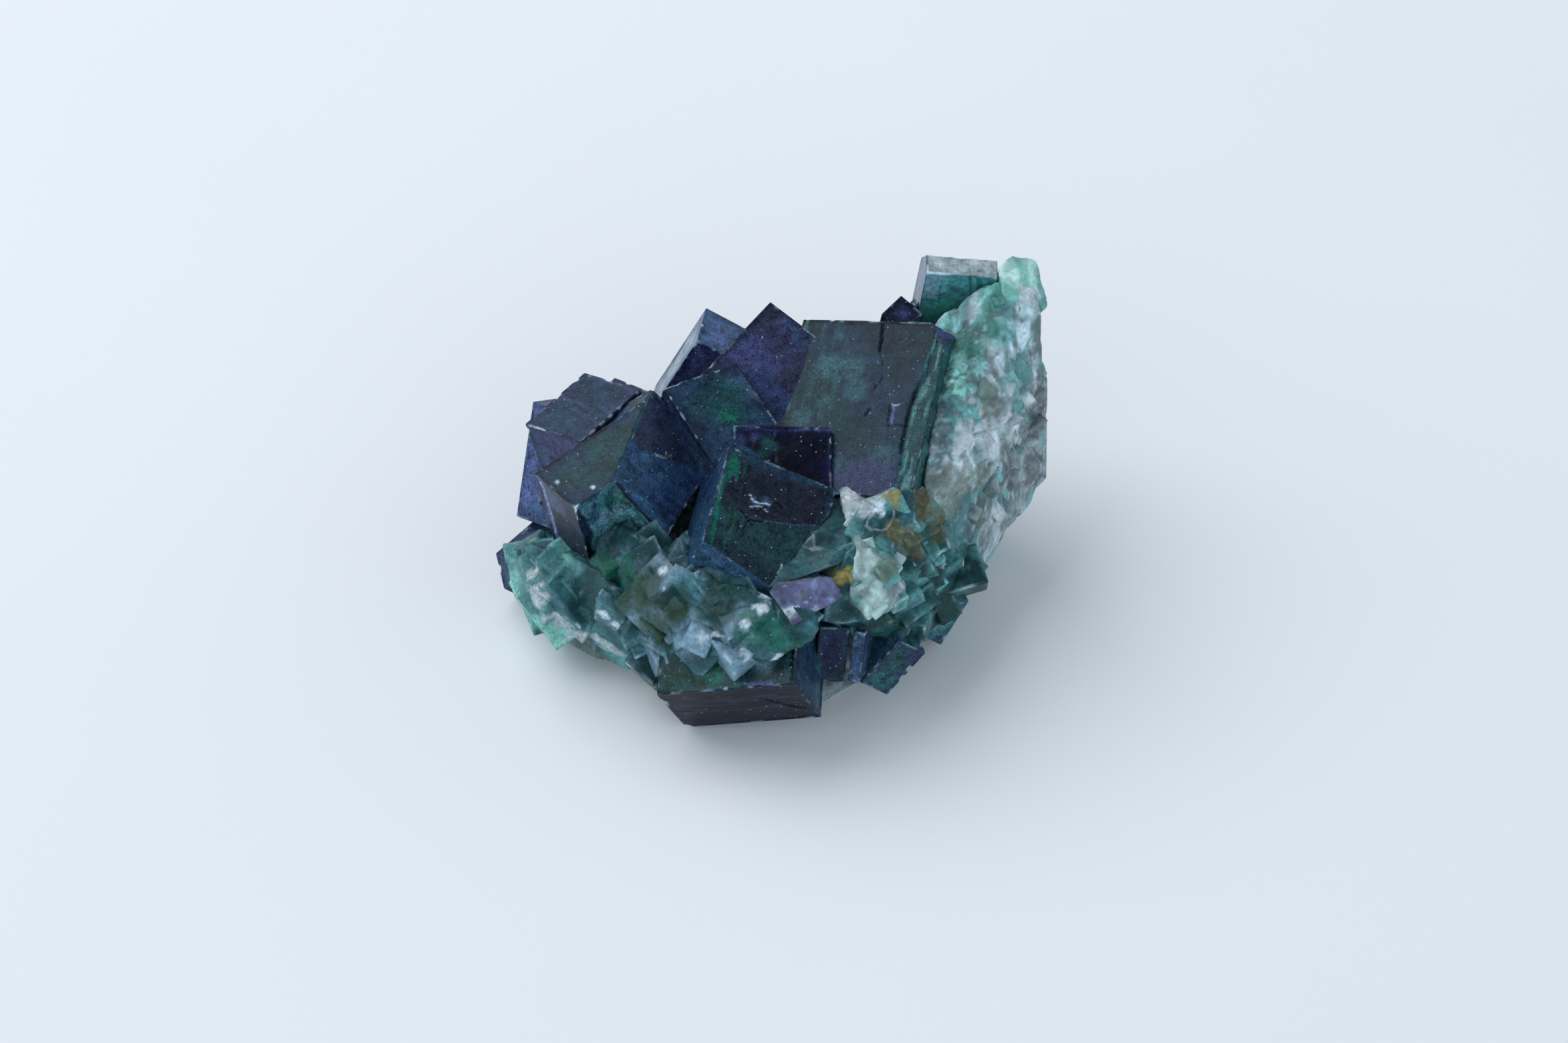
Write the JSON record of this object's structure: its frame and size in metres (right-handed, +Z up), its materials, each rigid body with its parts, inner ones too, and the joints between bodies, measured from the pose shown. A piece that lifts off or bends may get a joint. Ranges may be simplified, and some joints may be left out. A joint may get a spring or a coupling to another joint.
{
  "type": "fluorite specimen",
  "caption": "Hand-sized natural cluster of purple-rimmed green fluorite cubes on broken host rock, with a flat underside to rest on.",
  "frame": {"origin": "centre of the outline, on the surface the specimen rests on", "axes": "+Z up; -Y towards the front, where the lowest cube overhangs; +X towards the pale rock flank"},
  "size_m": [0.046, 0.04, 0.0247],
  "materials": {
    "zoned_fluorite": "satin",
    "green_fluorite": "satin",
    "pale_fluorite": "satin",
    "white_vein": "matte",
    "host_rock": "matte"
  },
  "bodies": {
    "root": {"front_left_twin": "zoned_fluorite", "front_left_cube": "green_fluorite", "front_centre_cube": "zoned_fluorite", "middle_dark_cube": "zoned_fluorite", "large_top_cube": "zoned_fluorite", "middle_green_cube": "green_fluorite", "back_peak_cube": "zoned_fluorite", "back_left_cube": "zoned_fluorite", "upper_left_cube": "zoned_fluorite", "small_upper_left_cube": "zoned_fluorite", "far_left_cube": "zoned_fluorite", "left_point_cube": "green_fluorite", "lower_front_cube": "green_fluorite", "lower_right_column": "zoned_fluorite", "lower_right_sliver": "zoned_fluorite", "lower_right_cube": "green_fluorite", "right_edge_cube": "green_fluorite", "top_right_block": "green_fluorite", "top_small_point": "zoned_fluorite", "top_tiny_point": "zoned_fluorite", "rear_centre_cube": "zoned_fluorite", "rear_right_cube": "zoned_fluorite", "rear_left_cube": "zoned_fluorite", "rear_far_left_cube": "zoned_fluorite", "rear_flank_cube": "green_fluorite", "rear_foot_cube": "zoned_fluorite", "rear_small_cube": "green_fluorite", "white_chunk_upper": "white_vein", "white_chunk_lower": "pale_fluorite", "purple_vein": "zoned_fluorite", "green_pane": "green_fluorite", "pale_green_knob": "pale_fluorite", "front_green_mass": "green_fluorite", "left_green_lobe": "pale_fluorite", "lower_green_mass": "green_fluorite", "pale_flank_rock": "white_vein", "host_rock": "host_rock"}
  },
  "joints": []
}
